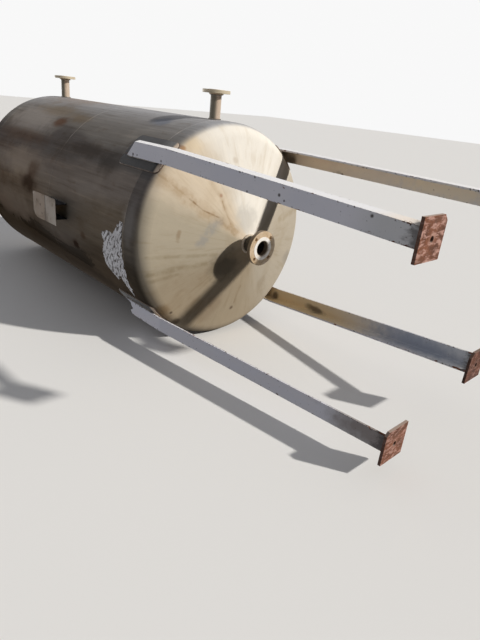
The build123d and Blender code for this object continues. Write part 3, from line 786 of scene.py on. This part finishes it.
dress(nameplate_finish(), "nameplate")

# Fillet welds: length of one ripple of a hand-laid bead
BEAD_PITCH = 0.0042


def even_route(corners, closed):
    """The points of a line through the corners, one for each weld ripple."""
    corners = [Vector(c) for c in corners]
    if closed:
        corners.append(corners[0])
    route = []
    for start, end in zip(corners[:-1], corners[1:]):
        steps = max(1, round((end - start).length / BEAD_PITCH))
        route += [start.lerp(end, i / steps) for i in range(steps)]
    return route if closed else route + [corners[-1]]


def weld_bead(name, corners, size, closed=False, metal=weld_metal):
    """A hand-laid bead along a line: each ripple swells and sinks a little, none quite like the last."""
    hand = random.Random(name)
    route = even_route(corners, closed)
    line = bpy.data.curves.new(name, "CURVE")
    line.dimensions = "3D"
    line.bevel_depth = size
    line.bevel_resolution = 1
    line.use_fill_caps = True
    run = line.splines.new("POLY")
    run.points.add(len(route) - 1)
    run.use_cyclic_u = closed
    for i, (point, at) in enumerate(zip(run.points, route)):
        wander = Vector(hand.uniform(-0.08, 0.08) * size for _ in range(3))
        point.co = (*(at + wander), 1.0)
        point.radius = (1.0 if i % 2 else 0.84) * hand.uniform(0.92, 1.08)
    made = new_object(name, line)
    bpy.ops.object.select_all(action="DESELECT")
    made.select_set(True)
    bpy.context.view_layer.objects.active = made
    bpy.ops.object.convert(target="MESH")
    made = bpy.context.object
    bpy.ops.object.shade_smooth()
    made.data.materials.clear()
    made.data.materials.append(metal)
    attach(made, "root")


def full_turn(count):
    """The cosine and sine of each of so many even steps of a full turn."""
    return [(cos(2 * pi * i / count), sin(2 * pi * i / count)) for i in range(count)]


def ring(radius, height):
    """A level ring about the tank's axis."""
    return [(AXIS_X + radius * c, AXIS_Y + radius * s, height) for c, s in full_turn(48)]


def side_ring(radius, nozzle_z, x, saddle):
    """A ring round a side nozzle: flat at x, or lying on the shell's curve and x out from it."""
    points = []
    for c, s in full_turn(40):
        y = radius * c
        out = sqrt(SHELL_R ** 2 - y ** 2) + x if saddle else x
        points.append((AXIS_X + out, AXIS_Y + y, nozzle_z + radius * s))
    return points


def weld_axis_nozzles():
    """Fillets of the outlet and of the top nozzle: on the head, behind the hub and inside the face."""
    levels = (("neck_to_head", PIPE_R + 0.0032, cone_height(PIPE_R) - 0.0026, 0.0074),
              ("neck_to_hub", PIPE_R + 0.0016, OUTLET_FACE + 0.0310, 0.0034),
              ("neck_to_face", PIPE_R - 0.0014, OUTLET_FACE + 0.0042, 0.0028))
    for part, radius, height, size in levels:
        weld_bead(f"outlet_{part}_weld", ring(radius, height), size, closed=True, metal=pale_weld)
        weld_bead(f"top_{part}_weld", ring(radius, BOTH_ENDS - height), size, closed=True)


def weld_side_nozzles():
    """The same three fillets of each side nozzle, the first on the shell."""
    rings = (("neck_to_shell", SIDE_PIPE_R + 0.0022, 0.0018, True, 0.0046),
             ("neck_to_hub", SIDE_PIPE_R + 0.0015, SIDE_FACE - 0.0262, False, 0.0032),
             ("neck_to_face", SIDE_PIPE_R - 0.0012, SIDE_FACE - 0.0042, False, 0.0026))
    for label, nozzle_z in SIDE_NOZZLES.items():
        for part, radius, x, saddle, size in rings:
            weld_bead(f"{label}_{part}_weld", side_ring(radius, nozzle_z, x, saddle), size, closed=True)


def pad_outline():
    """Round a pad, as distances from its middle line and heights, corner by corner."""
    side, outline = PAD_WIDTH / 2 - PAD_CORNER_R, []
    for way, z, start in ((1, PAD_HEAD, 0), (-1, PAD_HEAD, 90), (-1, PAD_FOOT, 180), (1, PAD_FOOT, 270)):
        middle = z + PAD_CORNER_R if z == PAD_FOOT else z - PAD_CORNER_R
        outline += [(way * side + PAD_CORNER_R * cos(radians(start + turn)),
                     middle + PAD_CORNER_R * sin(radians(start + turn))) for turn in (0, 22, 45, 68, 90)]
        if start in (0, 180):
            outline += [(way * side * (1 - i / 4), z) for i in range(1, 8)]
        else:
            ends = (PAD_HEAD - PAD_CORNER_R, PAD_FOOT + PAD_CORNER_R)[::-way]
            outline += [(way * PAD_WIDTH / 2, ends[0] + (ends[1] - ends[0]) * i / 12) for i in range(1, 12)]
    return outline


def plate_radius(z, out):
    """Radius, a little out from the plate, of the shell or of the bottom knuckle below it."""
    if z >= BOTTOM_TANGENT:
        return SHELL_R + out
    return SHELL_R - KNUCKLE_R + sqrt((KNUCKLE_R + out) ** 2 - (BOTTOM_TANGENT - z) ** 2)


def weld_pads_and_legs():
    """Fillets round each pad, down the leg's two toes on it and round the leg's foot on its base plate."""
    for name, (sx, sy) in CORNERS.items():
        turn = atan2(sy, sx)
        points = []
        for s, z in pad_outline():
            out = sqrt(plate_radius(z, PAD_FIT + 0.0012) ** 2 - s ** 2)
            points.append((AXIS_X + out * cos(turn) - s * sin(turn),
                           AXIS_Y + out * sin(turn) + s * cos(turn), z))
        weld_bead(f"leg_pad_{name}_weld", points, 0.0044, closed=True, metal=rusty_weld)
        near, far = HEEL - ANGLE - 0.0022, HEEL - ANGLE_T + 0.0016
        for side, (x, y) in (("x", (near, far)), ("y", (far, near))):
            at = (AXIS_X + sx * x, AXIS_Y + sy * y)
            ends = [(*at, BOTTOM_TANGENT - 0.006), (*at, LEG_TOP - 0.003)]
            weld_bead(f"leg_{name}_toe_{side}_weld", ends, 0.0050)
        shift_x, shift_y = LEAN[name]
        section = ((0, 0), (ANGLE, 0), (ANGLE, ANGLE_T), (ANGLE_T, ANGLE_T), (ANGLE_T, ANGLE), (0, ANGLE))
        foot = [(AXIS_X + shift_x + sx * (HEEL - x), AXIS_Y + shift_y + sy * (HEEL - y), BASE_T + 0.0022)
                for x, y in section]
        weld_bead(f"leg_{name}_foot_weld", foot, 0.0046, closed=True)


def weld_bracket():
    """A bead up each side of the nameplate's channel."""
    for side, way in (("left", -1), ("right", 1)):
        x = NAMEPLATE_X + way * (BRACKET_W / 2 + 0.0012)
        at = (AXIS_X + x, AXIS_Y - sqrt(SHELL_R ** 2 - x ** 2) - 0.0012)
        ends = [(*at, BRACKET_FOOT + 0.004), (*at, BRACKET_HEAD - 0.004)]
        weld_bead(f"bracket_{side}_weld", ends, 0.0034, metal=dark_weld)


weld_axis_nozzles()
weld_side_nozzles()
weld_pads_and_legs()
weld_bracket()

# Residue on the shell: outline of a torn pale sheet's remains, as angles from +X in degrees and heights
TORN_EDGE = ((-90.6, 1.749), (-88.5, 1.697), (-89.0, 1.635), (-85.8, 1.605), (-80.8, 1.560), (-81.6, 1.541),
             (-94.6, 1.539), (-102.3, 1.541), (-117.7, 1.550), (-124.0, 1.562), (-118.1, 1.590),
             (-111.7, 1.621), (-115.1, 1.665), (-112.2, 1.707), (-108.3, 1.755), (-99.4, 1.755),
             (-95.0, 1.725))
RESIDUE_CELL, RESIDUE_T = 0.0045, 0.0005


def within(outline, x, y):
    """Whether a point is inside an outline, by counting the edges to its right."""
    inside = False
    for (ax, ay), (bx, by) in zip(outline, outline[1:] + outline[:1]):
        if (ay > y) != (by > y) and x < ax + (y - ay) * (bx - ax) / (by - ay):
            inside = not inside
    return inside


def lay_residue():
    """A thin sheet on the shell, torn to its outline and holed, its strips running round the shell."""
    outline = [(radians(a) * SHELL_R, z) for a, z in TORN_EDGE]
    low = [min(p[i] for p in outline) for i in (0, 1)]
    high = [max(p[i] for p in outline) for i in (0, 1)]
    bpy.ops.object.select_all(action="DESELECT")
    bpy.ops.mesh.primitive_grid_add(x_subdivisions=round((high[0] - low[0]) / RESIDUE_CELL),
                                    y_subdivisions=round((high[1] - low[1]) / RESIDUE_CELL), size=1.0)
    made = bpy.context.object
    made.name = "shell_residue"
    mesh = made.data
    bpy.ops.object.mode_set(mode="EDIT")
    bpy.ops.mesh.select_mode(type="FACE")
    bpy.ops.mesh.select_all(action="DESELECT")
    bpy.ops.object.mode_set(mode="OBJECT")
    for vertex in mesh.vertices:
        vertex.co = Vector((low[0] + (vertex.co.x + 0.5) * (high[0] - low[0]),
                            low[1] + (vertex.co.y + 0.5) * (high[1] - low[1]), 0))
    for face in mesh.polygons:
        x, y, _ = face.center
        # Its edge is torn in coarse and in fine bites, and its holes run in strips
        torn = pattern.noise((x * 30, y * 55, 0.0)) * 0.010 + pattern.noise((x * 90, y * 160, 3.0)) * 0.007
        hole = pattern.noise((x * 45, y * 110, 7.0)) > 0.42
        face.select = hole or not within(outline, x + torn, y + torn)
    bpy.ops.object.mode_set(mode="EDIT")
    bpy.ops.mesh.delete(type="FACE")
    bpy.ops.object.mode_set(mode="OBJECT")
    for vertex in mesh.vertices:
        angle, z = vertex.co.x / SHELL_R, vertex.co.y
        lift = SHELL_R + 0.0004 + 0.0006 * abs(pattern.noise((vertex.co.x * 40, z * 40, 11.0)))
        vertex.co = Vector((AXIS_X + lift * cos(angle), AXIS_Y + lift * sin(angle), z))
    thick = made.modifiers.new("thickness", "SOLIDIFY")
    thick.thickness = RESIDUE_T
    thick.offset = 1.0
    bpy.ops.object.modifier_apply(modifier=thick.name)
    mesh.materials.append(residue_finish())
    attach(made, "root")


lay_residue()

# Stage: size of its planes, and how far they stay from the feet and from the shell
STAGE_SIZE, FLOOR_GAP, SHELL_GAP = 80.0, 0.001, 0.006


def stage_plane(name, at, upright=False):
    """A plain pale plane, seen from its front only and casting no shadow of its own. Above the feet, an
    upright one shows only to a camera that looks up through the level floor, as the photograph's does."""
    bpy.ops.object.select_all(action="DESELECT")
    bpy.ops.mesh.primitive_plane_add(size=STAGE_SIZE)
    plane = bpy.context.object
    plane.name = name
    if upright:
        plane.data.transform(Matrix.Rotation(radians(90), 4, "Y"))
    plane.data.transform(Matrix.Translation(at))
    plane.visible_shadow = False
    plane.visible_diffuse = False
    plane.visible_glossy = False
    material = bpy.data.materials.new(name)
    tree = empty_tree(material)
    hidden = put(tree, "ShaderNodeNewGeometry").outputs["Backfacing"]
    if upright:
        path = put(tree, "ShaderNodeLightPath").outputs
        z = split(tree, put(tree, "ShaderNodeTexCoord").outputs["Object"])[2]
        through_nothing = calc(tree, "LESS_THAN", path["Transparent Depth"], 0.5)
        direct = times(tree, through_nothing, path["Is Camera Ray"])
        above = times(tree, calc(tree, "GREATER_THAN", z, 0.0), direct)
        hidden = calc(tree, "MAXIMUM", hidden, above)
    plain = put(tree, "ShaderNodeBsdfDiffuse", {"Color": (0.8, 0.79, 0.77, 1)}).outputs[0]
    clear = put(tree, "ShaderNodeBsdfTransparent").outputs[0]
    shown = put(tree, "ShaderNodeMixShader", {0: hidden, 1: plain, 2: clear}).outputs[0]
    put(tree, "ShaderNodeOutputMaterial", {"Surface": shown})
    plane.data.materials.append(material)


stage_plane("level_floor", Vector((0, 0, -FLOOR_GAP)))
stage_plane("yard_floor", Vector((AXIS_X - SHELL_R - SHELL_GAP, 0, 0)), upright=True)


def lamp(name, direction, strength, colour, spread):
    """A far lamp whose light travels along direction."""
    data = bpy.data.lights.new(name, "SUN")
    data.energy = strength
    data.color = colour
    data.angle = radians(spread)
    made = new_object(name, data)
    made.rotation_euler = Vector(direction).to_track_quat("-Z", "Y").to_euler()


lamp("key_lamp", (-0.530, -0.437, 0.727), 3.6, (1.0, 0.97, 0.92), 2.0)
lamp("top_lamp", (0.0, 0.0, -1.0), 0.8, (1.0, 0.99, 0.97), 40.0)
lamp("back_lamp", (0.60, -0.60, -0.50), 0.8, (0.97, 0.98, 1.0), 30.0)


def plain_studio():
    """A pale room for the camera and for reflections, and a soft light, weaker from below the feet."""
    world = bpy.data.worlds.new("studio")
    scene.world = world
    tree = empty_tree(world)
    path = put(tree, "ShaderNodeLightPath").outputs
    seen = calc(tree, "MAXIMUM", path["Is Camera Ray"],
                calc(tree, "MAXIMUM", path["Is Glossy Ray"], path["Is Transmission Ray"]))
    up = split(tree, put(tree, "ShaderNodeTexCoord").outputs["Generated"])[2]
    soft = colours(tree, fade(tree, up, -0.85, 0.05), (0.04, 0.038, 0.038), (0.365, 0.372, 0.398))
    lit = put(tree, "ShaderNodeBackground", {"Color": soft}).outputs[0]
    pale = put(tree, "ShaderNodeBackground", {"Color": (0.94, 0.94, 0.94, 1)}).outputs[0]
    mixed = put(tree, "ShaderNodeMixShader", {0: seen, 1: lit, 2: pale}).outputs[0]
    put(tree, "ShaderNodeOutputWorld", {"Surface": mixed})


plain_studio()
